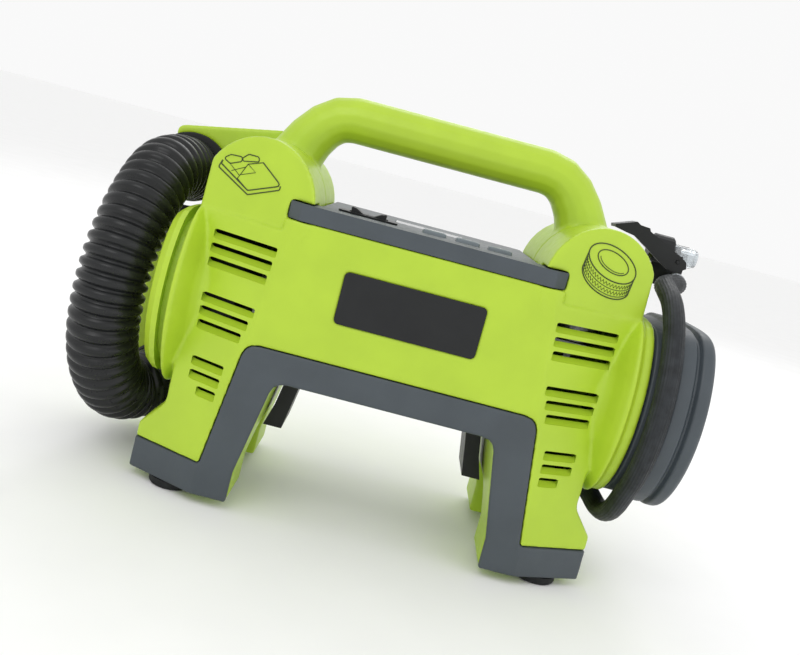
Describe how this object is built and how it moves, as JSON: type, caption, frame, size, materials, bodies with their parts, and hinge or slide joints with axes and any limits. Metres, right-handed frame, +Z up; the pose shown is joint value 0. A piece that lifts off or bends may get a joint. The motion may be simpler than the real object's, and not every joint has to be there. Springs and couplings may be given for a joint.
{
  "type": "electric air mattress pump",
  "caption": "Cordless air pump on four legs with a tube handle, corrugated air hose, wound tyre hose and thumb-lock chuck, lime and grey housing with control deck.",
  "frame": {"origin": "centre of the bounding box of the body and reel in X and Y, on the floor under the rubber feet; the free hoses and what they carry are left out of that box", "axes": "+X to the right seen from the front, +Y to the back, +Z up"},
  "size_m": [0.3416, 0.1491, 0.2308],
  "materials": {
    "lime_plastic": "fine moulded lime plastic, satin",
    "slate_plastic": "fine textured blue-grey plastic",
    "black_plastic": "satin black plastic",
    "button_grey": "soft grey plastic",
    "black_rubber": "matt black rubber",
    "steel": "zinc-plated steel",
    "cast_alloy": "cast alloy",
    "brass": "brass",
    "clear_plastic": "clear plastic",
    "board_green": "circuit board",
    "nylon": "natural nylon"
  },
  "bodies": {
    "housing": {"front_shell": "lime_plastic", "rear_shell": "lime_plastic", "front_bezel": "slate_plastic", "badge_plate": "black_plastic", "deck_panel": "slate_plastic", "rocker_frame": "black_plastic", "control_board": "board_green", "tact_switch_1": "black_plastic", "tact_switch_2": "black_plastic", "tact_switch_3": "black_plastic", "display_module": "black_plastic", "display_window": "clear_plastic", "battery_dock": "black_plastic", "terminal_block": "nylon", "terminal_blade_left": "brass", "terminal_blade_right": "brass", "blower_volute": "black_plastic", "blower_motor": "steel", "left_end_cap": "lime_plastic", "compressor_motor": "steel", "compressor_frame": "cast_alloy", "cylinder": "cast_alloy", "cylinder_head": "cast_alloy", "hose_reel": "slate_plastic", "inflate_port": "black_plastic", "air_hose": "black_rubber", "air_nozzle": "black_plastic", "pressure_hose": "black_rubber", "hose_gland": "black_plastic", "hose_ferrule": "steel", "chuck_elbow": "black_plastic", "chuck_body": "black_plastic", "chuck_sleeve": "clear_plastic", "lever_pin": "steel", "foot_front_left": "black_rubber", "foot_front_right": "black_rubber", "foot_rear_left": "black_rubber", "foot_rear_right": "black_rubber", "housing_screw_1": "steel", "housing_screw_2": "steel", "housing_screw_3": "steel", "housing_screw_4": "steel", "housing_screw_5": "steel", "housing_screw_6": "steel"},
    "rocker": {"rocker_switch": "black_plastic"},
    "power_button": {"button_power": "button_grey"},
    "minus_button": {"button_minus": "button_grey"},
    "plus_button": {"button_plus": "button_grey"},
    "impeller": {"blower_impeller": "black_plastic"},
    "pinion": {"motor_pinion": "brass"},
    "crank": {"crank_gear": "nylon"},
    "piston": {"piston_rod": "cast_alloy"},
    "lever": {"chuck_lever": "black_plastic"}
  },
  "joints": [
    {"name": "rocker_tilt", "type": "hinge", "parent": "housing", "child": "rocker", "pos_m": [-0.0345, -0.031, 0.1655], "axis": [0, 1, 0], "range_deg": [-8, 8]},
    {"name": "power_press", "type": "slide", "parent": "housing", "child": "power_button", "axis": [0, 0, -1], "range_m": [0, 0.0012], "stiffness_N_per_m": 300},
    {"name": "minus_press", "type": "slide", "parent": "housing", "child": "minus_button", "axis": [0, 0, -1], "range_m": [0, 0.0012], "stiffness_N_per_m": 300},
    {"name": "plus_press", "type": "slide", "parent": "housing", "child": "plus_button", "axis": [0, 0, -1], "range_m": [0, 0.0012], "stiffness_N_per_m": 300},
    {"name": "impeller_spin", "type": "hinge", "parent": "housing", "child": "impeller", "pos_m": [-0.105, 0, 0.106], "axis": [1, 0, 0], "continuous": true},
    {"name": "pinion_spin", "type": "hinge", "parent": "housing", "child": "pinion", "pos_m": [0.0805, 0.0115, 0.106], "axis": [1, 0, 0], "continuous": true},
    {"name": "crank_spin", "type": "hinge", "parent": "housing", "child": "crank", "pos_m": [0.084, -0.015, 0.106], "axis": [1, 0, 0], "continuous": true},
    {"name": "piston_stroke", "type": "slide", "parent": "housing", "child": "piston", "axis": [0, 0, 1], "range_m": [-0.012, 0]},
    {"name": "lever_lift", "type": "hinge", "parent": "housing", "child": "lever", "pos_m": [0.1475, 0.021, 0.1875], "axis": [0, 1, 0], "range_deg": [0, 75]}
  ],
  "couplings": [
    {"joint": "pinion_spin", "follows": "crank_spin", "ratio": -3.2}
  ]
}
